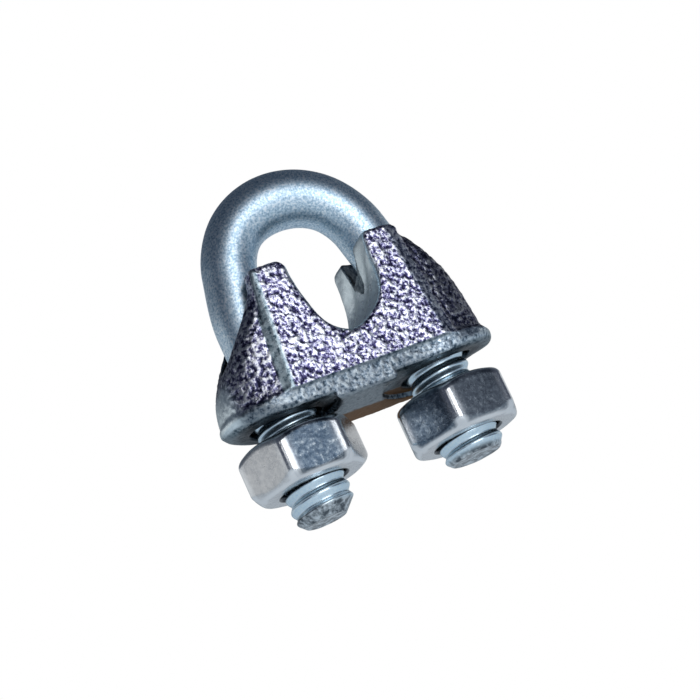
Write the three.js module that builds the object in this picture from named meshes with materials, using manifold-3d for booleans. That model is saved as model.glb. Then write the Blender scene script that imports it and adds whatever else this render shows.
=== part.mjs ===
// Wire rope clip for 8 mm rope: a cast saddle, a U-bolt with M6 threads and two hex nuts.
// Millimetres, +Z up. The origin lies on the rope's axis, in the saddle's groove. X runs from
// leg to leg, Y runs along the rope, and +Z points from the nuts to the U-bolt's bow.

import * as THREE from 'three';
import { mergeVertices } from 'three/addons/utils/BufferGeometryUtils.js';
import Module from 'manifold-3d';

const wasm = await Module();
wasm.setup();

// Driving dimensions.
const ropeRadius = 4.1;
const seatDrop = 9;
const legPitch = 15.1;
const rodRadius = 2.7;
const threadRadius = 2.9;
const runningGap = 0.05;

// U-bolt.
const bowHalfWidth = 6.2;
const bowRise = 5.4;
const bowHeight = 5.7;
const flareTop = 8.8;
const flareLength = 8.4;
const threadTop = -6.5;
const threadChamfer = 0.6;
const leftLegEnd = -18.2;
const rightLegEnd = -17.6;

// Saddle, with heights measured from the nut seats.
const seatHeight = -seatDrop;
const hornTop = seatHeight + 13;
const hornOuterHalf = 6.55;
const faceFootHalf = 7.65;
const faceFootHeight = seatHeight + 1.6;
const faceHalfDepth = 5.45;
const bossHalfDepth = 4.85;
const bossReach = 5.6;
const rimHalfDepth = 5.1;
const rimReach = 5.75;
const rimEndLift = 0.5;
const landDrop = 0.6;
const shoulderTopHalf = 6.95;
const shoulderFootHalf = 13.1;
const shoulderBulge = [11.1, seatHeight + 9];
const legHoleRadius = 3.3;
const leftNutRecess = 6.1;
const rightNutRecess = 7.6;
const grooveWallFoot = 0.3;
const grooveFlank = [ropeRadius, -1.3];
const grooveFloor = [1.4, -ropeRadius];

// Nuts.
const nutAcrossFlats = 10;
const nutHeight = 4.75;
const nutFaceRadius = 4.75;
const nutChamferSlope = Math.tan(THREE.MathUtils.degToRad(30));
const nutBoreChamfer = 0.3;
const leftNutTop = seatHeight - 1.15;
const rightNutTop = seatHeight - 2;
const leftNutTurn = -2;
const rightNutTurn = 8;

const overshoot = 1;
const rodSegments = 28;
const holeSegments = 28;
const latheSegments = 36;

// A solid from a closed three.js geometry, for joining and cutting.
function toSolid(geometry) {
  const shared = geometry.clone();
  shared.deleteAttribute('normal');
  shared.deleteAttribute('uv');
  const merged = mergeVertices(shared, 1e-5);
  return new wasm.Manifold(new wasm.Mesh({
    numProp: 3,
    vertProperties: new Float32Array(merged.attributes.position.array),
    triVerts: new Uint32Array(merged.index.array),
  }));
}

function toGeometry(solid) {
  const mesh = solid.getMesh();
  const geometry = new THREE.BufferGeometry();
  geometry.setAttribute('position', new THREE.BufferAttribute(mesh.vertProperties, 3));
  geometry.setIndex(new THREE.BufferAttribute(mesh.triVerts, 1));
  geometry.computeVertexNormals();
  return geometry;
}

// An outline in X and Z, extruded equally to both sides of Y = 0.
function acrossRope(shape, halfDepth, curveSegments = 10) {
  const geometry = new THREE.ExtrudeGeometry(shape, {
    depth: 2 * halfDepth,
    bevelEnabled: false,
    curveSegments,
  });
  geometry.rotateX(Math.PI / 2);
  geometry.translate(0, halfDepth, 0);
  return toSolid(geometry);
}

// An outline in X and Y, extruded upwards from a height.
function upright(shape, bottom, height, curveSegments = 10) {
  const geometry = new THREE.ExtrudeGeometry(shape, {
    depth: height,
    bevelEnabled: false,
    curveSegments,
  });
  geometry.translate(0, 0, bottom);
  return toSolid(geometry);
}

// A round solid about a vertical axis, from a profile of [radius, height] pairs.
function turned(profile, segments = latheSegments) {
  const points = profile.map(([radius, height]) => new THREE.Vector2(radius, height));
  const geometry = new THREE.LatheGeometry(points, segments);
  geometry.rotateX(Math.PI / 2);
  return toSolid(geometry);
}

// Half the spacing of the U-bolt's two sides: it narrows from the legs towards the bow.
function legHalfSpacing(height) {
  const drop = THREE.MathUtils.clamp((flareTop - height) / flareLength, 0, 1);
  const blend = drop * drop * (3 - 2 * drop);
  return THREE.MathUtils.lerp(bowHalfWidth, legPitch / 2, blend);
}

// The U-bolt's centre line, from the left leg over the bow to the right leg.
class UBoltLine extends THREE.Curve {
  constructor(bottom) {
    super();
    this.bottom = bottom;
  }

  getPoint(t, target = new THREE.Vector3()) {
    const side = t < 0.5 ? -1 : 1;
    const reach = Math.abs(2 * t - 1);
    const bowShare = 0.4;
    if (reach < bowShare) {
      const angle = (reach / bowShare) * (Math.PI / 2);
      const height = bowHeight + bowRise * Math.cos(angle);
      return target.set(side * legHalfSpacing(height) * Math.sin(angle), 0, height);
    }
    const down = (reach - bowShare) / (1 - bowShare);
    const height = THREE.MathUtils.lerp(bowHeight, this.bottom, down);
    return target.set(side * legHalfSpacing(height), 0, height);
  }
}

// One leg's centre line inside the saddle, for cutting its hole.
class LegLine extends THREE.Curve {
  constructor(side, bottom, top) {
    super();
    this.side = side;
    this.bottom = bottom;
    this.top = top;
  }

  getPoint(t, target = new THREE.Vector3()) {
    const height = THREE.MathUtils.lerp(this.bottom, this.top, t);
    return target.set(this.side * legHalfSpacing(height), 0, height);
  }
}

function sweptRound(path, radius, steps, segments) {
  const section = new THREE.Shape();
  section.absarc(0, 0, radius, 0, 2 * Math.PI);
  const geometry = new THREE.ExtrudeGeometry(section, {
    extrudePath: path,
    steps,
    curveSegments: segments / 2,
    bevelEnabled: false,
  });
  return toSolid(geometry);
}

// A leg's threaded end at crest diameter, with a run-out above and a chamfer below.
function threadedEnd(side, bottom) {
  const runOut = threadRadius - rodRadius;
  const profile = [
    [0, bottom],
    [threadRadius - threadChamfer, bottom],
    [threadRadius, bottom + threadChamfer],
    [threadRadius, threadTop],
    [rodRadius, threadTop + runOut],
    [0, threadTop + runOut],
  ];
  return turned(profile, rodSegments).translate([(side * legPitch) / 2, 0, 0]);
}

function uBolt() {
  const rod = sweptRound(new UBoltLine(threadTop - overshoot), rodRadius, 56, rodSegments);
  return rod.add(threadedEnd(-1, leftLegEnd)).add(threadedEnd(1, rightLegEnd));
}

// A plan outline with half-elliptic ends centred on the legs.
function planOutline(halfDepth, reach) {
  const half = legPitch / 2;
  const shape = new THREE.Shape();
  shape.absellipse(half, 0, reach, halfDepth, -Math.PI / 2, Math.PI / 2);
  shape.absellipse(-half, 0, reach, halfDepth, Math.PI / 2, (3 * Math.PI) / 2);
  shape.closePath();
  return shape;
}

// The sloping shoulders seen along the rope: broad at the seats, narrow at the horns.
function shoulderOutline() {
  const [bulgeHalf, bulgeHeight] = shoulderBulge;
  const shape = new THREE.Shape();
  shape.moveTo(-shoulderFootHalf, faceFootHeight);
  shape.lineTo(shoulderFootHalf, faceFootHeight);
  shape.quadraticCurveTo(bulgeHalf, bulgeHeight, shoulderTopHalf, hornTop);
  shape.lineTo(-shoulderTopHalf, hornTop);
  shape.quadraticCurveTo(-bulgeHalf, bulgeHeight, -shoulderFootHalf, faceFootHeight);
  return shape;
}

// The base seen along the rope: its underside rises a little towards both ends.
function baseOutline() {
  const endHalf = legPitch / 2 + rimReach;
  const shape = new THREE.Shape();
  shape.moveTo(-faceFootHalf, seatHeight);
  shape.lineTo(faceFootHalf, seatHeight);
  shape.lineTo(endHalf, seatHeight + rimEndLift);
  shape.lineTo(endHalf, faceFootHeight);
  shape.lineTo(-endHalf, faceFootHeight);
  shape.lineTo(-endHalf, seatHeight + rimEndLift);
  shape.closePath();
  return shape;
}

// The raised flat face in front of the bosses, up to the horns.
function faceOutline() {
  const shape = new THREE.Shape();
  shape.moveTo(-faceFootHalf, faceFootHeight);
  shape.lineTo(faceFootHalf, faceFootHeight);
  shape.lineTo(hornOuterHalf, hornTop);
  shape.lineTo(-hornOuterHalf, hornTop);
  shape.closePath();
  return shape;
}

// The rope groove: upright walls that round into a narrow floor, open at the top.
function grooveOutline() {
  const [flankHalf, flankHeight] = grooveFlank;
  const [floorHalf, floorHeight] = grooveFloor;
  const shape = new THREE.Shape();
  shape.moveTo(ropeRadius, hornTop + overshoot);
  shape.lineTo(-ropeRadius, hornTop + overshoot);
  shape.lineTo(-ropeRadius, grooveWallFoot);
  shape.bezierCurveTo(-flankHalf, flankHeight, -floorHalf, floorHeight, 0, floorHeight);
  shape.bezierCurveTo(floorHalf, floorHeight, flankHalf, flankHeight, ropeRadius, grooveWallFoot);
  shape.closePath();
  return shape;
}

// The middle of the base, which reaches below the nut seats.
function landOutline(bottom) {
  const shape = new THREE.Shape();
  shape.moveTo(-faceFootHalf, bottom);
  shape.lineTo(faceFootHalf, bottom);
  shape.lineTo(faceFootHalf, seatHeight);
  shape.lineTo(-faceFootHalf, seatHeight);
  shape.closePath();
  return shape;
}

function saddle() {
  const landBottom = seatHeight - landDrop;
  const plan = planOutline(rimHalfDepth, rimReach);
  const bosses = upright(planOutline(bossHalfDepth, bossReach), seatHeight, hornTop - seatHeight)
    .intersect(acrossRope(shoulderOutline(), faceHalfDepth));
  const rim = upright(plan, seatHeight, faceFootHeight - seatHeight)
    .intersect(acrossRope(baseOutline(), faceHalfDepth));
  const land = upright(plan, landBottom, landDrop)
    .intersect(acrossRope(landOutline(landBottom), faceHalfDepth));
  let solid = bosses.add(rim).add(land).add(acrossRope(faceOutline(), faceHalfDepth));
  solid = solid.subtract(acrossRope(grooveOutline(), faceHalfDepth + overshoot));
  for (const [side, recessRadius] of [[-1, leftNutRecess], [1, rightNutRecess]]) {
    const recess = turned([
      [0, landBottom - overshoot],
      [recessRadius, landBottom - overshoot],
      [recessRadius, seatHeight],
      [0, seatHeight],
    ]).translate([(side * legPitch) / 2, 0, 0]);
    const holeLine = new LegLine(side, seatHeight - overshoot, hornTop + overshoot);
    solid = solid.subtract(recess);
    solid = solid.subtract(sweptRound(holeLine, legHoleRadius, 8, holeSegments));
  }
  return solid;
}

// A hex nut centred on the Z axis with its top at Z = 0 and corners towards -X and +X.
function hexNut() {
  const cornerRadius = nutAcrossFlats / Math.sqrt(3);
  const cornerDrop = (cornerRadius + overshoot - nutFaceRadius) * nutChamferSlope;
  const boreRadius = threadRadius + runningGap;
  const hexagon = new THREE.Shape();
  for (let corner = 0; corner < 6; corner += 1) {
    const angle = (corner * Math.PI) / 3;
    const point = [cornerRadius * Math.cos(angle), cornerRadius * Math.sin(angle)];
    if (corner === 0) {
      hexagon.moveTo(...point);
    } else {
      hexagon.lineTo(...point);
    }
  }
  hexagon.closePath();
  const chamfers = turned([
    [0, -nutHeight],
    [nutFaceRadius, -nutHeight],
    [cornerRadius + overshoot, cornerDrop - nutHeight],
    [cornerRadius + overshoot, -cornerDrop],
    [nutFaceRadius, 0],
    [0, 0],
  ]);
  const bore = turned([
    [0, -nutHeight - overshoot],
    [boreRadius + nutBoreChamfer + overshoot, -nutHeight - overshoot],
    [boreRadius, nutBoreChamfer - nutHeight],
    [boreRadius, -nutBoreChamfer],
    [boreRadius + nutBoreChamfer + overshoot, overshoot],
    [0, overshoot],
  ]);
  return upright(hexagon, -nutHeight, nutHeight).intersect(chamfers).subtract(bore);
}

function metal(colour, roughness) {
  return new THREE.MeshStandardMaterial({ color: colour, roughness, metalness: 1 });
}

function namedMesh(name, solid, material) {
  const mesh = new THREE.Mesh(toGeometry(solid), material);
  mesh.name = name;
  return mesh;
}

const castZinc = metal(0x9d9fb4, 0.45);
const rolledZinc = metal(0xa9bac6, 0.3);
const nutZinc = metal(0xb4b9bf, 0.25);

const ropeClip = new THREE.Group();
ropeClip.add(namedMesh('saddle', saddle(), castZinc));
ropeClip.add(namedMesh('u_bolt', uBolt(), rolledZinc));
for (const [name, side, top, turn] of [
  ['left_nut', -1, leftNutTop, leftNutTurn],
  ['right_nut', 1, rightNutTop, rightNutTurn],
]) {
  const nut = namedMesh(name, hexNut(), nutZinc);
  nut.position.set((side * legPitch) / 2, 0, top);
  nut.rotation.z = THREE.MathUtils.degToRad(turn);
  ropeClip.add(nut);
}

export default ropeClip;
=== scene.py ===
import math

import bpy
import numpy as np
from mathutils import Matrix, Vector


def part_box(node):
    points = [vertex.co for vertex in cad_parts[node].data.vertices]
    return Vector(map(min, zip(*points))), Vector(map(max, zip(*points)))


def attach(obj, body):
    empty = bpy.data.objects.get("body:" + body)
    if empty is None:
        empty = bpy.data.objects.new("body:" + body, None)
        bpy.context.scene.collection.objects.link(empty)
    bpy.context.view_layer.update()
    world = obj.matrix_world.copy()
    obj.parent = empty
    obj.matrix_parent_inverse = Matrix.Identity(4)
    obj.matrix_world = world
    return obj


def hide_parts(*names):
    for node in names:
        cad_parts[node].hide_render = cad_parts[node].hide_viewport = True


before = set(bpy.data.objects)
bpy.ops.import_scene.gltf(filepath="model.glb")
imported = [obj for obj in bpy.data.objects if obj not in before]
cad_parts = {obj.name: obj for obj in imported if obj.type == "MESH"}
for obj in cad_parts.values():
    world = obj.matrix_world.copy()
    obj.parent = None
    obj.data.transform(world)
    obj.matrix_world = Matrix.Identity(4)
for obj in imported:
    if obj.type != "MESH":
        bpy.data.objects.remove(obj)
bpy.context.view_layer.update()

# A wire rope clip on a pale ground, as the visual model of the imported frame. The saddle is a cast
# block, made as a distance field and meshed; the U-bolt is a swept rod with rolled threads; the
# nuts are hexagons with tapped bores. Sizes are in millimetres, times MM for Blender. +X runs from
# the left leg to the right, +Y to the back and +Z to the bow; side -1 is the left and 1 the right.

import openvdb
from mathutils import Matrix, Vector, noise

MM = 0.001

# The clip's main sizes. Most are the CAD model's. The rod's radius, the bow's rise, the ends of the
# bosses and the rim, the leg holes and the nut recesses are closer to the photograph.
LEG_PITCH = 15.1
ROD_RADIUS = 2.52
THREAD_RADIUS = 2.9
THREAD_PITCH = 1.2
THREAD_ROOT = 2.6
THREAD_TOP = -6.5
BOW_HALF_WIDTH = 6.2
BOW_RISE = 5.24
BOW_HEIGHT = 5.7
FLARE_TOP = 8.8
FLARE_LENGTH = 8.4
LEG_ENDS = {-1: -18.2, 1: -17.6}
SEAT = -9.0
HORN_TOP = SEAT + 13
FACE_FOOT = SEAT + 1.6
FACE_HALF_DEPTH = 5.45
BOSS_HALF_DEPTH = {-1: 5.0, 1: 4.85}
BOSS_REACH = {-1: 5.85, 1: 5.6}
RIM_HALF_DEPTH = 5.1
RIM_REACH = {-1: 5.85, 1: 5.9}
RIM_END_LIFT = 0.5
RIM_REAR_LIFT = {-1: 0.25, 1: 0.55}
LAND_BOTTOM = SEAT - 0.6
LEG_HOLE = {-1: 3.37, 1: 3.4}
NUT_RECESS = {-1: 4.3, 1: 6.25}
RECESS_OFFSET = -2.5
ROPE_RADIUS = 4.1
NUT_ACROSS_FLATS = 10.0
NUT_TURN = {"left_nut": -2.0, "right_nut": 8.0}

# The photograph's view.
VIEW_AZIMUTH = -21.6
VIEW_ELEVATION = -13.5
VIEW_ROLL = -24.9
VIEW_DISTANCE = 226.7
VIEW_AIM = (1.17, 0.9, -4.24)
VIEW_LENS = 130.1


def mesh_object(name, points, faces, body):
    """A mesh piece, from points in millimetres, that moves with a CAD body."""
    mesh = bpy.data.meshes.new(name)
    mesh.from_pydata((np.asarray(points) * MM).tolist(), [], faces)
    mesh.validate()
    mesh.update()
    mesh.shade_smooth()
    piece = bpy.data.objects.new(name, mesh)
    bpy.context.scene.collection.objects.link(piece)
    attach(piece, body)
    return piece


def store_values(mesh, name, values):
    """Stores a value for each point, which a material reads by its name."""
    attribute = mesh.attributes.new(name, "FLOAT", "POINT")
    attribute.data.foreach_set("value", np.asarray(values, np.float32))


def ring_faces(rings, around):
    """Quads between consecutive closed rings of points."""
    faces = []
    for ring in range(rings - 1):
        low, high = ring * around, (ring + 1) * around
        for i in range(around):
            j = (i + 1) % around
            faces.append((low + i, low + j, high + j, high + i))
    return faces


def smoothstep(value):
    value = np.clip(value, 0, 1)
    return value * value * (3 - 2 * value)


def past(value, start, width):
    """0 up to a start, then rising to 1 over a width."""
    return smoothstep((value - start) / width)


def short_of(value, end, width):
    """1 well short of an end, and falling to 0 at it over a width."""
    return smoothstep((end - value) / width)


def leg_half_spacing(height):
    """Half the distance between the legs, which stand further apart below the bow."""
    drop = short_of(height, FLARE_TOP, FLARE_LENGTH)
    return BOW_HALF_WIDTH + (LEG_PITCH / 2 - BOW_HALF_WIDTH) * drop


# ---------------------------------------------------------------- saddle

VOXEL = 0.11
GRID_HALF_SIZE = (14.2, 6.2)
GRID_MARGIN = 0.6
CASTING_OFFSET = -0.2
LAND_HALF_LENGTH = 7.65
OVERLAP = {"boss": 0.3, "land": 1.0, "recess": 0.1}
REAR_LIFT_EDGE = (-1.0, 5.0)
FACE_FOOT_HALF = {-1: 7.55, 1: 7.65}
FACE_TAPER = 1.1
BEVEL_TURN = math.radians(26)
BEVEL_WIDTH = 1.1
BEVEL_TAPER = {-1: 0.65, 1: 0.0}
SHOULDERS = {
    -1: [(13.9, FACE_FOOT - 0.4), (13.7, SEAT + 4.4), (9.3, SEAT + 7.5), (6.2, HORN_TOP + 0.1)],
    1: [(13.1, FACE_FOOT - 0.4), (12.0, SEAT + 9.4), (6.95, HORN_TOP + 0.1)],
}

# The groove's walls as (half width, height), and the ribs across it.
GROOVE_FLOOR = -4.12
GROOVE_CURVES = {
    -1: [(0, GROOVE_FLOOR), (1.1, GROOVE_FLOOR), (3.15, -1.9), (3.4, 1.2)],
    1: [(0, GROOVE_FLOOR), (1.7, GROOVE_FLOOR), (3.9, -2.0), (4.1, 1.0)],
}
GROOVE_TOPS = {-1: [(3.45, 3.2), (3.9, 4.2)], 1: [(4.2, 3.2), (4.3, 4.2)]}
GROOVE_STEEPEST = 3
ROPE_HEIGHT = -0.2
RIB_PITCH = 4.4
RIB_DEPTH = 0.14
RIB_LEAN = 0.55
RIB_TOP_EDGE = (3.4, 2.0)

# How widely one surface of the casting rounds into another.
ROUNDING = {
    "shoulder": 1.6,
    "horn_top": 0.5,
    "face_edge": 0.12,
    "face_side": 0.2,
    "rim_top": 0.3,
    "rim_foot": 0.8,
    "land_end": 0.3,
    "land_foot": 0.5,
    "recess": 0.25,
    "boss_to_face": 0.2,
    "rim_to_face": 0.45,
    "land_to_rim": 0.12,
    "groove": 0.6,
    "leg_hole": 0.25,
}

# Where each region of the skin starts or ends, and how widely it fades. The groove's and the bevel's
# are distances from those surfaces, bevel_end and flank from the face's edge, and near_leg from a
# leg's axis. The others are places along X, Y or Z.
REGION_EDGES = {
    "groove": (0.9, 0.5),
    "bevel": (-0.12, 0.08),
    "bevel_end": (1.0, 0.15),
    "flank": (0.9, 0.4),
    "flank_end": (12.6, 1.0),
    "casting_end": (11.8, 1.0),
    "band": (FACE_FOOT + 0.1, 0.25),
    "band_front": (7.0, 3.0),
    "horns": (-1.0, 4.0),
    "land": (SEAT - 0.25, 0.2),
    "brown_shade": (0.6, 0.8),
    "near_leg": (5.4, 1.5),
}
FACING_DOWN = (0.4, 0.3)
GROOVE_REACH = (4.9, 5.3)
BEVEL_INNER_DEPTH = 4.75
BROWN_HALF_LENGTH = 6.0
END_TOP = 1.0
HOLE_LIP = 0.25

GRAIN_SIZE = 0.45
GRAIN_DEPTH = 0.07
GRAIN_LEVEL = 0.3
SMOOTH_GRAIN = 0.12
WANDER_SIZE = 3.1
WANDER_DEPTH = 0.05
SMOOTHNESS = {"groove": 0.95, "hole": 0.9, "band": 0.75, "below": 0.6, "ends": 0.8}
BEVEL_SMOOTHNESS = {-1: 1.0, 1: 0.3}
# Painted shade: how far each region's colour is darkened where shade falls, with each boss's flank
# darkened by its own share, left and right.
SHADE = {"band": 0.58, "bevel": 0.35, "horns": 0.12, "hole": 0.7, "recess": 0.5, "near_leg": 0.45}
FLANK_SHADE = {-1: 0.4, 1: 0.65}
# How much painted light the land under the casting gets.
LAND_PAINTED_LIGHT = 0.45


def smooth_max(a, b, blend):
    overlap = np.maximum(blend - np.abs(a - b), 0) / blend
    return np.maximum(a, b) + overlap * overlap * blend / 4


def smooth_min(a, b, blend):
    return -smooth_max(-a, -b, blend)


def bezier(points, count=64):
    """A Bezier curve's points, of any degree, by repeated interpolation."""
    t = np.linspace(0, 1, count)[:, None]
    level = [np.array(point, float)[None, :] for point in points]
    while len(level) > 1:
        level = [a * (1 - t) + b * t for a, b in zip(level, level[1:])]
    return level[0]


def half_width_at(z, outline):
    """Half width in X, and its slope, of an outline given as (half width, rising height)."""
    half = np.interp(z, outline[:, 1], outline[:, 0])
    slope = np.interp(z, outline[:, 1], np.gradient(outline[:, 0], outline[:, 1]))
    return half, slope


def plan_distance(across, y, half_depth, reach):
    """Distance to an upright wall whose plan has half-elliptic ends centred on the legs."""
    beyond = np.maximum(across - LEG_PITCH / 2, 0) / reach
    return (np.hypot(beyond, y / half_depth) - 1) * half_depth


def by_side(x, values):
    return np.where(x < 0, values[-1], values[1])


def face_lift(z):
    """0 at the raised face's foot and 1 at the horns' tops."""
    return (z - FACE_FOOT) / (HORN_TOP - FACE_FOOT)


def beyond_face(x, z):
    """How far a point is past the raised face's edge, which narrows towards the horns."""
    return np.abs(x) - (by_side(x, FACE_FOOT_HALF) - FACE_TAPER * face_lift(z))


def bevel_distance(beyond, depth):
    """Distance to the plane that slopes back beside the raised face."""
    return beyond * math.sin(BEVEL_TURN) + (depth - FACE_HALF_DEPTH) * math.cos(BEVEL_TURN)


def nut_recess(side, x, leg_y):
    """How far a point is inside the relief round a nut, which reaches further in front."""
    return NUT_RECESS[side] - np.hypot(x - side * LEG_PITCH / 2, leg_y - RECESS_OFFSET)


def boss_field(x, y, z):
    """The bosses round the legs, under shoulders that fall away from the horns."""
    shoulders = []
    for side in (-1, 1):
        half, slope = half_width_at(z, bezier(SHOULDERS[side]))
        shoulders.append((side * x - half) / np.sqrt(1 + slope**2))
    bosses = plan_distance(np.abs(x), y, by_side(x, BOSS_HALF_DEPTH), by_side(x, BOSS_REACH))
    bosses = smooth_max(bosses, np.maximum(*shoulders), ROUNDING["shoulder"])
    bosses = smooth_max(bosses, z - HORN_TOP, ROUNDING["horn_top"])
    return np.maximum(bosses, FACE_FOOT - OVERLAP["boss"] - z)


def face_field(x, y, z):
    """The raised face, front and back, with a bevel down each side."""
    depth = np.abs(y)
    beyond = beyond_face(x, z)
    bevel = bevel_distance(beyond, depth)
    side_wall = beyond - BEVEL_WIDTH + by_side(x, BEVEL_TAPER) * face_lift(z)
    face = smooth_max(depth - FACE_HALF_DEPTH, bevel, ROUNDING["face_edge"])
    face = smooth_max(face, side_wall, ROUNDING["face_side"])
    face = smooth_max(face, z - HORN_TOP, ROUNDING["horn_top"])
    return smooth_max(face, FACE_FOOT - z, ROUNDING["face_edge"])


def rim_wall(x, y):
    return plan_distance(np.abs(x), y, RIM_HALF_DEPTH, by_side(x, RIM_REACH))


def rim_field(x, y, z):
    """The rim round the casting's foot, whose ends lift, more so at the rear."""
    span = LEG_PITCH / 2 + by_side(x, RIM_REACH) - LAND_HALF_LENGTH
    end_share = np.clip((np.abs(x) - LAND_HALF_LENGTH) / span, 0, 1)
    end_lift = RIM_END_LIFT + by_side(x, RIM_REAR_LIFT) * past(y, *REAR_LIFT_EDGE)
    rim = smooth_max(rim_wall(x, y), z - FACE_FOOT, ROUNDING["rim_top"])
    return smooth_max(rim, SEAT + end_lift * end_share - z, ROUNDING["rim_foot"])


def land_field(x, y, leg_y, z):
    """The flat land on the underside, cut away round each nut."""
    land = smooth_max(rim_wall(x, y), np.abs(x) - LAND_HALF_LENGTH, ROUNDING["land_end"])
    land = np.maximum(land, z - SEAT - OVERLAP["land"])
    land = smooth_max(land, LAND_BOTTOM - z, ROUNDING["land_foot"])
    for side in (-1, 1):
        recess = np.minimum(nut_recess(side, x, leg_y), SEAT + OVERLAP["recess"] - z)
        land = smooth_max(land, recess, ROUNDING["recess"])
    return land


def groove_field(x, y, z):
    """The rope's groove: upright walls over a rounded floor, with ribs that follow the lay."""
    walls = []
    for side in (-1, 1):
        outline = np.concatenate([bezier(GROOVE_CURVES[side]), GROOVE_TOPS[side]])
        half, slope = half_width_at(z, outline)
        walls.append((side * x - half) / np.sqrt(1 + np.minimum(slope, GROOVE_STEEPEST) ** 2))
    gap = np.maximum(np.maximum(*walls), GROOVE_FLOOR - z)
    lay = np.arctan2(x, ROPE_HEIGHT - z) * ROPE_RADIUS
    ribs = RIB_DEPTH * np.cos(2 * np.pi * (y + RIB_LEAN * lay) / RIB_PITCH)
    return gap + ribs * short_of(z, *RIB_TOP_EDGE)


def casting_field(x, leg_y, z):
    """Signed distance, roughly, to the saddle's casting: negative inside.

    The legs stand at leg_y 0, and the casting a little in front of them.
    """
    y = leg_y - CASTING_OFFSET
    solid = smooth_min(boss_field(x, y, z), face_field(x, y, z), ROUNDING["boss_to_face"])
    solid = smooth_min(solid, rim_field(x, y, z), ROUNDING["rim_to_face"])
    solid = smooth_min(solid, land_field(x, y, leg_y, z), ROUNDING["land_to_rim"])
    solid = smooth_max(solid, -groove_field(x, y, z), ROUNDING["groove"])
    for side in (-1, 1):
        hole = np.hypot(x - side * leg_half_spacing(z), leg_y) - LEG_HOLE[side]
        solid = smooth_max(solid, -hole, ROUNDING["leg_hole"])
    return solid


def casting_mesh():
    """The casting's surface as points and quads."""
    half_x, half_y = GRID_HALF_SIZE
    low = np.array([-half_x, -half_y, LAND_BOTTOM - GRID_MARGIN])
    high = np.array([half_x, half_y, HORN_TOP + GRID_MARGIN])
    axes = [np.arange(a, b, VOXEL, dtype=np.float32) for a, b in zip(low, high)]
    x, y, z = np.meshgrid(*axes, indexing="ij", sparse=True)
    field = casting_field(x, y, z).astype(np.float32)
    grid = openvdb.FloatGrid(1.0)
    grid.copyFromArray(field)
    points, quads = grid.convertToQuads(isovalue=0.0)
    return points * VOXEL + low, quads


def casting_regions(points, normals):
    """Per point, from 0 to 1: how far it belongs to each region of the casting's skin."""
    x, leg_y, z = points.T
    y = leg_y - CASTING_OFFSET
    across, depth = np.abs(x), np.abs(y)
    edges = REGION_EDGES
    beyond = beyond_face(x, z)
    above_rim = z > FACE_FOOT
    in_groove = (across < GROOVE_REACH[0]) * (depth < GROOVE_REACH[1])
    bevel = past(bevel_distance(beyond, depth), *edges["bevel"]) * short_of(beyond, *edges["bevel_end"])
    flank = past(beyond, *edges["flank"]) * short_of(across, *edges["flank_end"])
    return {
        "groove": short_of(groove_field(x, y, z), *edges["groove"]) * in_groove,
        "hole": np.hypot(across - leg_half_spacing(z), leg_y) < by_side(x, LEG_HOLE) + HOLE_LIP,
        "bevel": bevel * (depth > BEVEL_INNER_DEPTH) * above_rim,
        "flank": flank * above_rim,
        "band": short_of(z, *edges["band"]),
        "band_front": short_of(x, *edges["band_front"]),
        "ends": past(across, *edges["casting_end"]) * (z < END_TOP),
        "horns": past(z, *edges["horns"]),
        "below": past(-normals[:, 2], *FACING_DOWN),
        "land": short_of(z, *edges["land"]),
        "brown_shade": past(y, *edges["brown_shade"]) * (across < BROWN_HALF_LENGTH),
        "near_leg": short_of(np.hypot(across - LEG_PITCH / 2, leg_y), *edges["near_leg"]),
    }


def casting_coarseness(at, bevel):
    """1 on the rough cast skin, less where the casting is smooth."""
    smooth = [at["groove"] * SMOOTHNESS["groove"], at["hole"] * SMOOTHNESS["hole"], bevel]
    coarse = 1 - np.clip(np.maximum.reduce(smooth), 0, 1)
    coarse = coarse * (1 - SMOOTHNESS["band"] * at["band"])
    coarse = coarse * (1 - SMOOTHNESS["below"] * at["below"] * (1 - at["land"]))
    return coarse * (1 - SMOOTHNESS["ends"] * at["ends"])


def casting_texture(points, normals):
    """Per point: the grain's height, how coarse the skin is, and how much painted shade, brown painted
    shade and painted light its colour gets.
    """
    x = points[:, 0]
    at = casting_regions(points, normals)
    bevel = at["bevel"] * by_side(x, BEVEL_SMOOTHNESS)
    # Brown painted shade on the underside's rear half, between the nuts.
    brown_shade = at["below"] * at["brown_shade"]
    recess = at["below"] * (1 - at["land"]) * (1 - brown_shade)
    # Painted shade: the recesses round the nuts, the bosses' flanks, the band under the face, the horns
    # towards their tops, the bevels and the leg holes get a darker colour where shade falls.
    painted_shade = [
        recess * (SHADE["recess"] + SHADE["near_leg"] * at["near_leg"]),
        at["flank"] * by_side(x, FLANK_SHADE),
        at["band"] * at["band_front"] * (1 - at["ends"]) * SHADE["band"],
        at["horns"] * SHADE["horns"],
        bevel * SHADE["bevel"],
        at["hole"] * SHADE["hole"],
    ]
    # Painted light: the left end, the groove's walls and the land underneath get a lighter colour, as
    # if lit.
    painted_light = [
        at["ends"] * (x < 0) * (1 - at["below"]),
        at["groove"] * (1 - at["hole"]),
        at["below"] * at["land"] * (1 - brown_shade) * LAND_PAINTED_LIGHT,
    ]
    return {
        "grain": np.array([noise.fractal(Vector(point) / GRAIN_SIZE, 0.8, 2.1, 3) for point in points]),
        "coarse": casting_coarseness(at, bevel),
        "painted_shade": np.maximum.reduce(painted_shade),
        "brown_shade": brown_shade,
        "painted_light": np.maximum.reduce(painted_light),
    }


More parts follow.
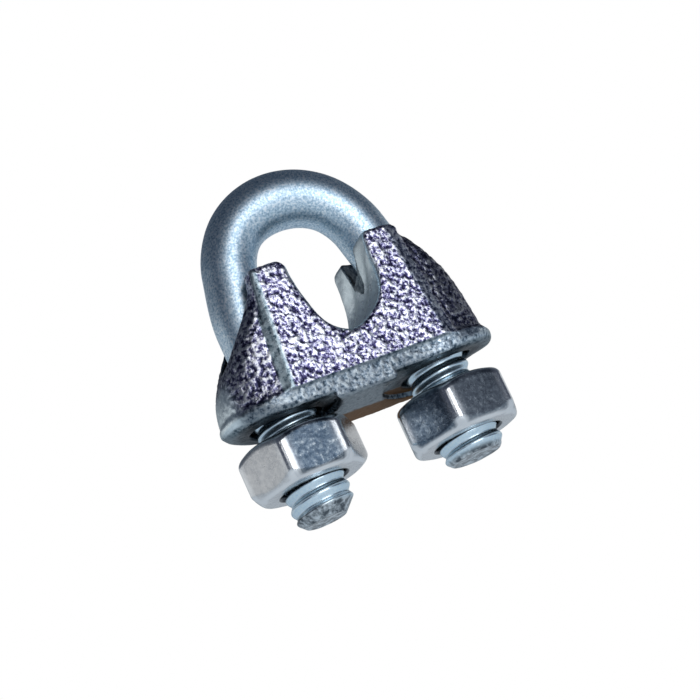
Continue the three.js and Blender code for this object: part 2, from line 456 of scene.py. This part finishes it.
def saddle_casting():
    points, quads = casting_mesh()
    piece = mesh_object("saddle_casting", points, quads.tolist(), "saddle")
    mesh = piece.data
    normals = np.empty(len(mesh.vertices) * 3, dtype=np.float32)
    mesh.vertices.foreach_get("normal", normals)
    normals = normals.reshape(-1, 3)
    texture = casting_texture(points, normals)
    grain = (texture["grain"] - GRAIN_LEVEL) * (SMOOTH_GRAIN + (1 - SMOOTH_GRAIN) * texture["coarse"])
    wander = np.array([noise.noise(Vector(point) / WANDER_SIZE) for point in points])
    height = GRAIN_DEPTH * grain + WANDER_DEPTH * wander
    moved = (points + normals * height[:, None]) * MM
    mesh.vertices.foreach_set("co", moved.astype(np.float32).ravel())
    for name, values in texture.items():
        store_values(mesh, name, values)
    mesh.update()
    return piece


# ---------------------------------------------------------------- U-bolt

ROD_AROUND = 72
THREAD_STEP = 0.05
PLAIN_STEP = 0.25
BOW_STEP = 2.5
THREAD_SHARPNESS = 0.9
THREAD_START = 0.3
THREAD_RUN_OUT = (THREAD_TOP - 0.8, 0.9)
ROLLED_END = (THREAD_TOP + 0.5, 0.5)
WORN_FADE = 0.5
LEG_END_ROUND = 0.25
LEG_END_RADIUS = 0.1
CAP_SHARES = (0.02, 0.3, 0.6, 0.85, 0.96)
CAP_DISH = 0.12
CAP_WAVE = 0.04
LEG_CHAMFERS = {-1: 0.7, 1: 0.5}
WORN_LENGTH = {-1: 1.3, 1: 0.6}
SAW_TILT = {-1: 0.3, 1: 0.05}
CROWN_SWELL = 0.075


def thread_height(phase):
    """0 at the root and 1 at the crest of a rolled thread, as the phase runs from 0 to 1."""
    wave = 0.5 - 0.5 * np.cos(2 * np.pi * phase)
    return wave**THREAD_SHARPNESS


def rod_radius_at(side, height, angle):
    """The leg's radius round its axis: threads below, plain rod above, chamfered at the end."""
    phase = height / THREAD_PITCH - angle / (2 * np.pi) + THREAD_START * side
    thread = THREAD_ROOT + (THREAD_RADIUS - THREAD_ROOT) * thread_height(phase % 1)
    run_out = past(height, *THREAD_RUN_OUT)
    radius = thread * (1 - run_out) + ROD_RADIUS * run_out
    chamfer = THREAD_RADIUS - LEG_CHAMFERS[side] + (height - LEG_ENDS[side])
    chamfer = chamfer - SAW_TILT[side] * (1 + np.cos(angle))
    return smooth_min(radius, np.maximum(chamfer, LEG_END_RADIUS), LEG_END_ROUND)


def tilted_ring(centre, along, radius, angle):
    """A ring square to the rod's centre line, its first point on the ring's +X side."""
    outward = np.array([along[2], 0, -along[0]]) / np.linalg.norm(along)
    reach = np.outer(radius * np.cos(angle), outward)
    return centre + reach + np.outer(radius * np.sin(angle), [0, 1, 0])


def leg_rings(side):
    """Rings of points from a leg's end up to the bow, in the order of rising height."""
    threaded = np.arange(LEG_ENDS[side], THREAD_TOP + 0.4, THREAD_STEP)
    plain = np.arange(THREAD_TOP + 0.6, BOW_HEIGHT - 0.1, PLAIN_STEP)
    angle = np.linspace(0, 2 * np.pi, ROD_AROUND, endpoint=False)
    rings, step = [], 0.01
    for height in np.concatenate([threaded, plain]):
        radius = rod_radius_at(side, height, angle)
        slope = (leg_half_spacing(height + step) - leg_half_spacing(height - step)) / (2 * step)
        centre = np.array([side * leg_half_spacing(height), 0, height])
        rings.append(tilted_ring(centre, np.array([side * slope, 0, 1]), radius, angle))
    return rings


def end_cap_rings(side):
    """The sawn face of a leg's end, a little hollow and uneven, from its centre to the chamfer."""
    angle = np.linspace(0, 2 * np.pi, ROD_AROUND, endpoint=False)
    rim = rod_radius_at(side, LEG_ENDS[side], angle)
    rings = []
    for share in CAP_SHARES:
        dish = CAP_DISH * (1 - share) + CAP_WAVE * np.sin(3 * angle + side) * share
        x = side * LEG_PITCH / 2 + share * rim * np.cos(angle)
        rings.append(np.stack([x, share * rim * np.sin(angle), LEG_ENDS[side] + dish], axis=1))
    return rings


def bow_centre(turn):
    """The rod's centre on the bow, as it turns from the left leg, at 0, to the right."""
    height = BOW_HEIGHT + BOW_RISE * math.sin(turn)
    return np.array([-leg_half_spacing(height) * math.cos(turn), 0, height])


def bow_rings():
    """Rings over the bow from left to right, which is a little thicker at its crown."""
    angle = np.linspace(0, 2 * np.pi, ROD_AROUND, endpoint=False)
    rings = []
    for turn in np.radians(np.arange(0, 180.1, BOW_STEP)):
        along = bow_centre(turn + 0.01) - bow_centre(turn - 0.01)
        radius = ROD_RADIUS * (1 + CROWN_SWELL * math.sin(turn) ** 4)
        rings.append(tilted_ring(bow_centre(turn), along, radius, angle))
    return rings


def u_bolt_rod():
    """One mesh from the left leg's end, over the bow, to the right leg's end."""
    left = end_cap_rings(-1) + leg_rings(-1)
    right = end_cap_rings(1) + leg_rings(1)
    mirror = (ROD_AROUND // 2 - np.arange(ROD_AROUND)) % ROD_AROUND
    right = [ring[mirror] for ring in reversed(right)]
    rings = left + bow_rings() + right
    points = np.concatenate(rings)
    faces = ring_faces(len(rings), ROD_AROUND)
    faces.append(tuple(reversed(range(ROD_AROUND))))
    last = (len(rings) - 1) * ROD_AROUND
    faces.append(tuple(last + i for i in range(ROD_AROUND)))
    piece = mesh_object("u_bolt_rod", points, faces, "u_bolt")
    x, z = points[:, 0], points[:, 2]
    worn_top = by_side(x, LEG_ENDS) + by_side(x, WORN_LENGTH)
    store_values(piece.data, "rolled", short_of(z, *ROLLED_END))
    store_values(piece.data, "worn", short_of(z, worn_top, WORN_FADE))
    return piece


# ---------------------------------------------------------------- nuts

NUT_FACE_RADIUS = 4.75
NUT_CHAMFER = math.tan(math.radians(30))
NUT_CORNER_ROUND = 0.7
NUT_EDGE_ROUND = 0.6
EDGE_POINTS = 9
BORE_CREST = 3.0
BORE_ROOT = 3.3
BORE_MOUTH = 3.4
MOUTH_DEPTH = 0.3
MOUTH_LIP = (0.1, 0.04)
BORE_THREAD_ENDS = (0.35, 0.32)
BORE_STEP = 0.06

# How blotched and dark each flat is, round from +X, which paints shade flat by flat, and how much more
# painted shade the blotched flats of each nut get.
NUT_MOTTLE_AND_SHADE = {
    "left_nut": np.array([0.3, 0.6, 0.2, 0.0, 1.0, 0.1]),
    "right_nut": np.array([0.3, 0.7, 0.4, 0.95, 0.8, 0.3]),
}
NUT_SHADE = {"left_nut": 0.4, "right_nut": 0.0}

# Where the flats, the bore, the corners and the rims start or end, and how widely they fade.
NUT_EDGES = {"flat": (0.1, 0.3), "bore": (BORE_MOUTH, 0.1), "corner": (5.38, 0.1), "rim": (0.5, 0.3)}
FLAT_INNER_RADIUS = 4.8
RIM_INNER_RADIUS = 4.6


def hexagon_outline():
    """Points round a hexagon with rounded corners, corners towards +X and -X."""
    corner_radius = NUT_ACROSS_FLATS / math.sqrt(3)
    centre_radius = corner_radius - NUT_CORNER_ROUND / math.cos(math.radians(30))
    points = []
    for corner in range(6):
        middle = math.radians(60 * corner)
        hub = centre_radius * np.array([math.cos(middle), math.sin(middle)])
        arc = middle + np.radians(np.linspace(-30, 30, 7))
        points.extend(hub + NUT_CORNER_ROUND * np.array([np.cos(a), np.sin(a)]) for a in arc)
        after = math.radians(60 * (corner + 1))
        hub_after = centre_radius * np.array([math.cos(after), math.sin(after)])
        rounding = NUT_CORNER_ROUND * np.array([np.cos(arc[-1]), np.sin(arc[-1])])
        start, end = hub + rounding, hub_after + rounding
        points.extend(start + (end - start) * share for share in np.linspace(0, 1, 12)[1:-1])
    return np.array(points)


def rounded_edge(edge, height, upward):
    """(radius, height) points round a nut's outer edge, from its face to its flat."""
    face = NUT_FACE_RADIUS
    drop = upward * (edge - face) * NUT_CHAMFER
    ease = upward * NUT_EDGE_ROUND
    inner = [(face - NUT_EDGE_ROUND, height), (face, height)]
    outer = [(edge, height + drop), (edge, height + drop + ease)]
    return bezier(inner + outer, EDGE_POINTS)


def nut_profile(edge, height, angle):
    """(radius, height) points up the outside and down the bore, for one direction."""
    lip_in, lip_down = MOUTH_LIP
    mouth = [(BORE_CREST, MOUTH_DEPTH), (BORE_MOUTH - lip_in, lip_down), (BORE_MOUTH, 0)]
    points = [(radius, inset - height) for radius, inset in mouth]
    points.extend(rounded_edge(edge, -height, 1))
    points.extend(rounded_edge(edge, 0, -1)[::-1])
    points.extend((radius, -inset) for radius, inset in reversed(mouth))
    first, last = BORE_THREAD_ENDS
    for down in np.arange(first, height - last, BORE_STEP):
        phase = -down / THREAD_PITCH - angle / (2 * math.pi)
        points.append((BORE_CREST + (BORE_ROOT - BORE_CREST) * float(thread_height(phase % 1)), -down))
    return points


def nut_rings(height):
    """Rings of points round a nut whose top is at 0, and the flat that each column is on."""
    profiles, flats = [], []
    for point in hexagon_outline():
        angle = math.atan2(point[1], point[0])
        edge = np.linalg.norm(point)
        unit = point / edge
        profiles.append([(unit[0] * r, unit[1] * r, z) for r, z in nut_profile(edge, height, angle)])
        flats.append(int(math.degrees(angle) % 360 // 60))
    return np.array(profiles).transpose(1, 0, 2), flats


def turned(points, degrees):
    """Points turned about Z."""
    cos, sin = math.cos(math.radians(degrees)), math.sin(math.radians(degrees))
    return points @ np.array([[cos, -sin, 0], [sin, cos, 0], [0, 0, 1]]).T


def store_nut_values(mesh, node, rings, flats, height):
    """Per point: how blotched and shaded flat by flat, how much painted shade, and how near an edge
    with a painted highlight it is.
    """
    out = np.linalg.norm(rings[:, :, :2], axis=2)
    level = rings[:, :, 2]
    from_end = np.minimum(-level, height + level)
    # Blotches, with shade painted flat by flat.
    mottle_and_shade = NUT_MOTTLE_AND_SHADE[node][flats] * past(from_end, *NUT_EDGES["flat"]) * (out > FLAT_INNER_RADIUS)
    # Painted shade: dark towards the bore's mouth, and on the blotched flats by each nut's share.
    painted_shade = np.maximum(short_of(out, *NUT_EDGES["bore"]), mottle_and_shade * NUT_SHADE[node])
    # Painted highlights along the corners and the rims.
    corner = past(out.max(axis=0), *NUT_EDGES["corner"])
    edge = np.maximum(corner, short_of(from_end, *NUT_EDGES["rim"])) * (out > RIM_INNER_RADIUS)
    for name, values in (("mottle_and_shade", mottle_and_shade), ("painted_shade", painted_shade), ("edge", edge)):
        store_values(mesh, name, values.ravel())


def hex_nut(node, side):
    low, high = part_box(node)
    top, height = high.z / MM, (high.z - low.z) / MM
    rings, flats = nut_rings(height)
    count, around = rings.shape[:2]
    place = np.array([side * LEG_PITCH / 2, 0, top])
    points = turned(rings.reshape(-1, 3), NUT_TURN[node]) + place
    closed = ring_faces(count + 1, around)
    faces = [tuple(i % (count * around) for i in face) for face in closed]
    piece = mesh_object(f"{node}_body", points, faces, node)
    store_nut_values(piece.data, node, rings, flats, height)
    return piece


# ---------------------------------------------------------------- materials


def new_material(name):
    """A material whose shader is metal throughout, unless a link says otherwise."""
    material = bpy.data.materials.new(name)
    material.use_nodes = True
    nodes = material.node_tree.nodes
    shader = nodes["Principled BSDF"]
    shader.inputs["Metallic"].default_value = 1.0
    return material, material.node_tree, shader


def add_node(tree, kind, **inputs):
    node = tree.nodes.new(kind)
    for name, value in inputs.items():
        node.inputs[name.replace("_", " ")].default_value = value
    return node


def noise_texture(tree, size_mm, detail=3.0, rough=0.55):
    """Noise in the piece's own coordinates, with its coarsest lumps about a size apart."""
    scale = 1 / (size_mm * MM)
    node = add_node(tree, "ShaderNodeTexNoise", Scale=scale, Detail=detail, Roughness=rough)
    place = tree.nodes.new("ShaderNodeTexCoord").outputs["Object"]
    tree.links.new(place, node.inputs["Vector"])
    return node.outputs["Fac"]


def ramp(tree, source, stops):
    """A colour ramp from (position, colour) pairs."""
    node = tree.nodes.new("ShaderNodeValToRGB")
    elements = node.color_ramp.elements
    while len(elements) < len(stops):
        elements.new(0.5)
    for element, (position, colour) in zip(elements, stops):
        element.position = position
        element.color = (*colour, 1)
    tree.links.new(source, node.inputs["Fac"])
    return node.outputs["Color"]


def value_range(tree, source, low, high, to_low, to_high):
    """A value moved from one range to another."""
    node = tree.nodes.new("ShaderNodeMapRange")
    limits = {"From Min": low, "From Max": high, "To Min": to_low, "To Max": to_high}
    for name, value in limits.items():
        node.inputs[name].default_value = value
    tree.links.new(source, node.inputs["Value"])
    return node.outputs["Result"]


# The places of the Mix node's factor, colours and resulting colour among its sockets.
MIX_FACTOR, MIX_FIRST, MIX_SECOND, MIX_RESULT = 0, 6, 7, 2


def mixed(tree, factor, first, second):
    """A mix of two colours, each given as (r, g, b) or as a socket."""
    node = tree.nodes.new("ShaderNodeMix")
    node.data_type = "RGBA"
    tree.links.new(factor, node.inputs[MIX_FACTOR])
    for place, source in ((MIX_FIRST, first), (MIX_SECOND, second)):
        if isinstance(source, tuple):
            node.inputs[place].default_value = (*source, 1)
        else:
            tree.links.new(source, node.inputs[place])
    return node.outputs[MIX_RESULT]


def bump(tree, shader, height, distance_mm, strength):
    """A fine relief. The strength is a number or a socket."""
    node = add_node(tree, "ShaderNodeBump", Distance=distance_mm * MM)
    if isinstance(strength, float):
        node.inputs["Strength"].default_value = strength
    else:
        tree.links.new(strength, node.inputs["Strength"])
    tree.links.new(height, node.inputs["Height"])
    tree.links.new(node.outputs["Normal"], shader.inputs["Normal"])


def summed(tree, first, second):
    node = tree.nodes.new("ShaderNodeMath")
    node.operation = "ADD"
    tree.links.new(first, node.inputs[0])
    tree.links.new(second, node.inputs[1])
    return node.outputs["Value"]


def attribute(tree, name):
    node = tree.nodes.new("ShaderNodeAttribute")
    node.attribute_name = name
    return node.outputs["Fac"]


# Colour ramps over each material's noise, and flat tints that its attributes mix in. The grain's ramp
# paints glints on the grain's tops and shade in its pits; the shade, brown, light and edge tints are
# painted shade, painted light and painted highlights.
GRAIN_GLINT_AND_SHADE_COLOURS = [
    (0.38, (0.03, 0.028, 0.08)),
    (0.45, (0.14, 0.13, 0.28)),
    (0.51, (0.50, 0.50, 0.68)),
    (0.57, (0.90, 0.91, 0.96)),
]
SMOOTH_COLOURS = [
    (0.35, (0.08, 0.13, 0.17)),
    (0.42, (0.33, 0.43, 0.49)),
    (0.62, (0.57, 0.68, 0.74)),
]
SATIN_COLOURS = [
    (0.38, (0.31, 0.46, 0.59)),
    (0.50, (0.57, 0.73, 0.86)),
    (0.60, (0.86, 0.94, 1.0)),
]
ROLLED_COLOURS = [
    (0.3, (0.56, 0.74, 0.86)),
    (0.7, (0.80, 0.92, 1.0)),
]
SAWN_COLOURS = [
    (0.42, (0.10, 0.12, 0.14)),
    (0.50, (0.34, 0.38, 0.41)),
    (0.60, (0.62, 0.68, 0.72)),
]
PLAIN_COLOURS = [
    (0.35, (0.60, 0.61, 0.63)),
    (0.65, (0.78, 0.78, 0.78)),
]
BLOTCHED_COLOURS = [
    (0.40, (0.04, 0.07, 0.11)),
    (0.50, (0.10, 0.14, 0.19)),
    (0.58, (0.17, 0.22, 0.27)),
    (0.66, (0.45, 0.5, 0.55)),
]
# The colour of the brown painted shade under the casting's rear.
BROWN_SHADE_COLOUR = (0.36, 0.165, 0.035)
# The colour of the painted light.
PAINTED_LIGHT_ZINC = (0.86, 0.96, 1.0)
CASTING_SHADE_COLOUR = (0.02, 0.028, 0.04)
NUT_SHADE_COLOUR = (0.03, 0.035, 0.045)
# The colour of the painted highlights along the nuts' edges.
EDGE_HIGHLIGHT_COLOUR = (0.93, 0.95, 0.97)

# Noises as (size in millimetres, detail, roughness), then how rough each finish is.
CAST_NOISE = (0.33, 3, 0.65)
ROD_SPECKLE = (0.2, 4, 0.7)
SAWN_MOTTLE = (0.7, 4, 0.7)
NUT_BLOTCHES = (0.45, 5, 0.75)
SHEEN_SIZE = 0.5
CAST_ROUGHNESS = (0.24, 0.4)
ROD_ROUGHNESS = (0.38, 0.27)
NUT_ROUGHNESS = (0.16, 0.3)
BROWN_SHADE_ROUGHNESS = 0.5
EDGE_ROUGHNESS = -0.08


def cast_zinc():
    """Zinc over a cast skin: painted glints on the grain's tops and painted shade in its indigo pits,
    teal where smooth, with painted shade and painted light mixed in.
    """
    material, tree, shader = new_material("cast_zinc")
    coarse = attribute(tree, "coarse")
    fine = noise_texture(tree, *CAST_NOISE)
    lumps = value_range(tree, attribute(tree, "grain"), -0.8, 0.8, -0.11, 0.11)
    relief = summed(tree, fine, lumps)
    # On the coarse skin, the grain's ramp paints glints on the tops and shade in the pits.
    skin = mixed(tree, coarse, ramp(tree, relief, SMOOTH_COLOURS), ramp(tree, relief, GRAIN_GLINT_AND_SHADE_COLOURS))
    brown_shade = attribute(tree, "brown_shade")
    painted_light = value_range(tree, attribute(tree, "painted_light"), 0, 1, 0, 0.9)
    # Brown painted shade under the rear, which is matt and not metal there.
    skin = mixed(tree, brown_shade, skin, BROWN_SHADE_COLOUR)
    # Painted light lightens the skin's colour here.
    skin = mixed(tree, painted_light, skin, PAINTED_LIGHT_ZINC)
    # Painted shade darkens the skin's colour here.
    skin = mixed(tree, attribute(tree, "painted_shade"), skin, CASTING_SHADE_COLOUR)
    tree.links.new(skin, shader.inputs["Base Color"])
    rough = value_range(tree, noise_texture(tree, SHEEN_SIZE), 0.3, 0.7, *CAST_ROUGHNESS)
    rough = summed(tree, rough, value_range(tree, brown_shade, 0, 1, 0, BROWN_SHADE_ROUGHNESS))
    tree.links.new(rough, shader.inputs["Roughness"])
    tree.links.new(value_range(tree, brown_shade, 0, 1, 1, 0), shader.inputs["Metallic"])
    shader.inputs["Specular Tint"].default_value = (0.65, 0.65, 0.65, 1)
    bump(tree, shader, relief, 0.06, value_range(tree, coarse, 0, 1, 0.3, 1.0))
    return material


def rod_zinc():
    """Satin bright zinc, speckled on the bent rod, smoother on the threads, worn at the ends."""
    material, tree, shader = new_material("rod_zinc")
    speckle = noise_texture(tree, *ROD_SPECKLE)
    rolled = attribute(tree, "rolled")
    satin, bright = ramp(tree, speckle, SATIN_COLOURS), ramp(tree, speckle, ROLLED_COLOURS)
    colour = mixed(tree, rolled, satin, bright)
    sawn = ramp(tree, noise_texture(tree, *SAWN_MOTTLE), SAWN_COLOURS)
    colour = mixed(tree, attribute(tree, "worn"), colour, sawn)
    tree.links.new(colour, shader.inputs["Base Color"])
    rough = value_range(tree, rolled, 0, 1, *ROD_ROUGHNESS)
    tree.links.new(rough, shader.inputs["Roughness"])
    bump(tree, shader, speckle, 0.025, value_range(tree, rolled, 0, 1, 0.8, 0.1))
    return material


def nut_zinc():
    """Bright zinc on machined flats: even on some, blotched and darkened by shade painted flat by flat
    on others, with painted shade in the bores and painted highlights on the edges.
    """
    material, tree, shader = new_material("nut_zinc")
    blotches = noise_texture(tree, *NUT_BLOTCHES)
    plain, blotched = ramp(tree, blotches, PLAIN_COLOURS), ramp(tree, blotches, BLOTCHED_COLOURS)
    # Blotched, darker flats: blotches, with shade painted flat by flat.
    colour = mixed(tree, attribute(tree, "mottle_and_shade"), plain, blotched)
    # Painted shade in the bores and on some flats.
    colour = mixed(tree, attribute(tree, "painted_shade"), colour, NUT_SHADE_COLOUR)
    edge = attribute(tree, "edge")
    # Painted highlights along the edges, which are also a little smoother.
    colour = mixed(tree, value_range(tree, edge, 0, 1, 0, 0.8), colour, EDGE_HIGHLIGHT_COLOUR)
    tree.links.new(colour, shader.inputs["Base Color"])
    rough = value_range(tree, noise_texture(tree, SHEEN_SIZE), 0.3, 0.7, *NUT_ROUGHNESS)
    rough = summed(tree, rough, value_range(tree, edge, 0, 1, 0, EDGE_ROUGHNESS))
    tree.links.new(rough, shader.inputs["Roughness"])
    bump(tree, shader, blotches, 0.03, 0.8)
    return material


# ---------------------------------------------------------------- pieces

saddle_piece = saddle_casting()
saddle_piece.data.materials.append(cast_zinc())
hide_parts("saddle")

rod_piece = u_bolt_rod()
rod_piece.data.materials.append(rod_zinc())
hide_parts("u_bolt")

nut_material = nut_zinc()
for nut_node, nut_side in (("left_nut", -1), ("right_nut", 1)):
    nut_piece = hex_nut(nut_node, nut_side)
    nut_piece.data.materials.append(nut_material)
    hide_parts(nut_node)

# ---------------------------------------------------------------- stage, light and camera

# Directions as (azimuth, elevation): azimuth 0 is in front of the clip, at -Y, and 90 at +X.
KEY_DIRECTION = (3, 6)
GLOW_DIRECTION = (15, 8)
FILL_DIRECTION = (-36, 12)
LIGHT_DISTANCE = 0.6
KEY_SIZE = 0.42
KEY_RADIANCE = 2.25
FILL_SIZE = 0.16
FILL_RADIANCE = 1.1
GLOW_COLOUR = (0.38, 0.42, 0.48)
FAR_COLOUR = (0.28, 0.33, 0.37)
BEHIND_EDGE = (-0.1, 0.12)
FAR_EDGE = (0.86, 1.0)
GLOW_EDGE = (0.84, 0.97)
FLOOR_REACH = 4.0
FLOOR_DROP = 0.25
FLOOR_COLOUR = (0.86, 0.86, 0.86)
FLOOR_GLOW = (0.82, 0.92, 1.0)
FLOOR_GLOW_STRENGTH = 0.42

# The room's colour from straight down, at 0, to straight up, at 1: behind the clip, then in front.
PALE_SIDE = [
    (0.0, (0.16, 0.20, 0.25)),
    (0.36, (0.22, 0.27, 0.32)),
    (0.50, (0.48, 0.51, 0.53)),
    (0.63, (0.68, 0.70, 0.72)),
    (0.71, (0.12, 0.14, 0.17)),
    (1.0, (0.04, 0.05, 0.07)),
]
DARK_SIDE = [
    (0.0, (0.16, 0.20, 0.25)),
    (0.40, (0.10, 0.12, 0.15)),
    (0.60, (0.07, 0.08, 0.11)),
    (1.0, (0.04, 0.05, 0.07)),
]


def direction_to(azimuth, elevation):
    a, e = math.radians(azimuth), math.radians(elevation)
    return Vector((math.sin(a) * math.cos(e), -math.cos(a) * math.cos(e), math.sin(e)))


def view_axes(azimuth, elevation, roll):
    """The camera's right, up and back directions."""
    back = direction_to(azimuth, elevation)
    right = Vector((0, 0, 1)).cross(back).normalized()
    up = back.cross(right)
    turn = Matrix.Rotation(math.radians(roll), 3, back)
    return turn @ right, turn @ up, back


def add_camera():
    right, up, back = view_axes(VIEW_AZIMUTH, VIEW_ELEVATION, VIEW_ROLL)
    data = bpy.data.cameras.new("camera")
    data.lens = VIEW_LENS
    data.sensor_width = 36
    data.clip_start = 0.01
    data.clip_end = 50
    camera = bpy.data.objects.new("camera", data)
    spot = (Vector(VIEW_AIM) + back * VIEW_DISTANCE) * MM
    facing = Matrix((right, up, back)).transposed().to_4x4()
    camera.matrix_world = Matrix.Translation(spot) @ facing
    bpy.context.scene.collection.objects.link(camera)
    bpy.context.scene.camera = camera


def add_floor():
    """A wide pale ground, well below the clip."""
    reach = FLOOR_REACH
    square = [(-reach, -reach), (reach, -reach), (reach, reach), (-reach, reach)]
    corners = [(x, y, -FLOOR_DROP) for x, y in square]
    mesh = bpy.data.meshes.new("floor")
    mesh.from_pydata(corners, [], [(0, 1, 2, 3)])
    floor = bpy.data.objects.new("floor", mesh)
    bpy.context.scene.collection.objects.link(floor)
    material = bpy.data.materials.new("floor")
    material.use_nodes = True
    shader = material.node_tree.nodes["Principled BSDF"]
    shader.inputs["Base Color"].default_value = (*FLOOR_COLOUR, 1)
    shader.inputs["Roughness"].default_value = 0.9
    shader.inputs["Emission Color"].default_value = (*FLOOR_GLOW, 1)
    shader.inputs["Emission Strength"].default_value = FLOOR_GLOW_STRENGTH
    floor.data.materials.append(material)


def add_softbox(name, direction, size, radiance):
    """A square area light facing the clip."""
    data = bpy.data.lights.new(name, "AREA")
    data.shape = "SQUARE"
    data.size = size
    data.energy = radiance * math.pi * size * size
    lamp = bpy.data.objects.new(name, data)
    lamp.location = direction * LIGHT_DISTANCE
    lamp.rotation_mode = "QUATERNION"
    lamp.rotation_quaternion = direction.to_track_quat("Z", "Y")
    bpy.context.scene.collection.objects.link(lamp)


def toward(tree, direction, low, high):
    """0 to 1 as the view ray turns towards a direction."""
    node = tree.nodes.new("ShaderNodeVectorMath")
    node.operation = "DOT_PRODUCT"
    tree.links.new(tree.nodes.new("ShaderNodeTexCoord").outputs["Generated"], node.inputs[0])
    node.inputs[1].default_value = direction
    return value_range(tree, node.outputs["Value"], low, high, 0, 1)


def add_world():
    """A dim studio: pale near the horizon behind the clip, dark above, and a broad glow in front.

    The camera itself sees plain white.
    """
    world = bpy.data.worlds.new("studio")
    world.use_nodes = True
    tree = world.node_tree
    room = tree.nodes["Background"]
    height = toward(tree, (0, 0, 1), -1, 1)
    pale_side = ramp(tree, height, PALE_SIDE)
    dark_side = ramp(tree, height, DARK_SIDE)
    walls = mixed(tree, toward(tree, (0, 1, 0), *BEHIND_EDGE), dark_side, pale_side)
    walls = mixed(tree, toward(tree, (0, 1, 0), *FAR_EDGE), walls, FAR_COLOUR)
    glow = toward(tree, direction_to(*GLOW_DIRECTION), *GLOW_EDGE)
    tree.links.new(mixed(tree, glow, walls, GLOW_COLOUR), room.inputs["Color"])
    backdrop = add_node(tree, "ShaderNodeBackground", Color=(1, 1, 1, 1), Strength=1.0)
    choose = tree.nodes.new("ShaderNodeMixShader")
    sight = tree.nodes.new("ShaderNodeLightPath")
    tree.links.new(sight.outputs["Is Camera Ray"], choose.inputs["Fac"])
    tree.links.new(room.outputs["Background"], choose.inputs[1])
    tree.links.new(backdrop.outputs["Background"], choose.inputs[2])
    tree.links.new(choose.outputs["Shader"], tree.nodes["World Output"].inputs["Surface"])
    bpy.context.scene.world = world


add_camera()
add_floor()
add_world()
add_softbox("key", direction_to(*KEY_DIRECTION), KEY_SIZE, KEY_RADIANCE)
add_softbox("fill", direction_to(*FILL_DIRECTION), FILL_SIZE, FILL_RADIANCE)
bpy.context.scene.view_settings.view_transform = "Standard"
